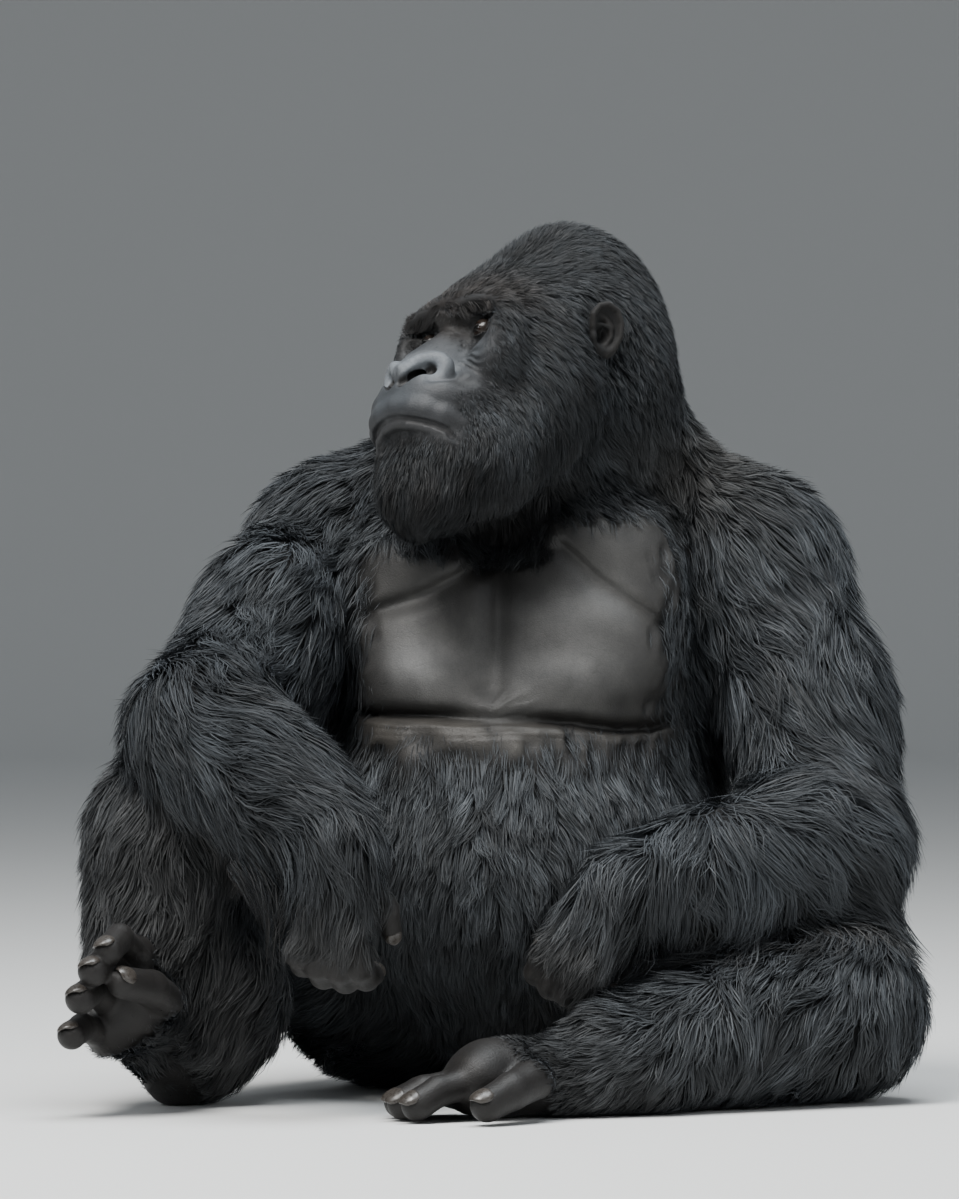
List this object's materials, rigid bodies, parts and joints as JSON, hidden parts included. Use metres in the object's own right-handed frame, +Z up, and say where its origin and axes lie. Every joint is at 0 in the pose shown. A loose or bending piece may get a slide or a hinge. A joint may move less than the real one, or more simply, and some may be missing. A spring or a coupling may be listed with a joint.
{
  "type": "gorilla museum model",
  "caption": "Life-size still model of a seated adult male mountain gorilla, looking up to its right, one elbow on its raised knee.",
  "frame": {"origin": "middle of the model's box on the plane it sits on", "axes": "+Z up; the animal faces -Y, with its own left side towards +X"},
  "size_m": [0.9512, 0.829, 0.9734],
  "materials": {
    "coat": "dense black fur with a soft blue-grey sheen",
    "coat_saddle": "short silver-grey fur",
    "bare_skin": "wrinkled bare skin, satin",
    "eye": "wet gloss, dark brown",
    "nail": "dark horn, satin gloss"
  },
  "bodies": {
    "root": {"head": "coat", "neck": "coat", "trunk": "coat", "ear_L": "bare_skin", "ear_R": "bare_skin", "eye_L": "eye", "eye_R": "eye", "upper_arm_L": "coat", "upper_arm_R": "coat", "forearm_L": "coat", "forearm_R": "coat", "hand_L": "bare_skin", "hand_R": "bare_skin", "thigh_L": "coat", "thigh_R": "coat", "shin_L": "coat", "shin_R": "coat", "foot_L": "bare_skin", "foot_R": "bare_skin"}
  },
  "joints": []
}
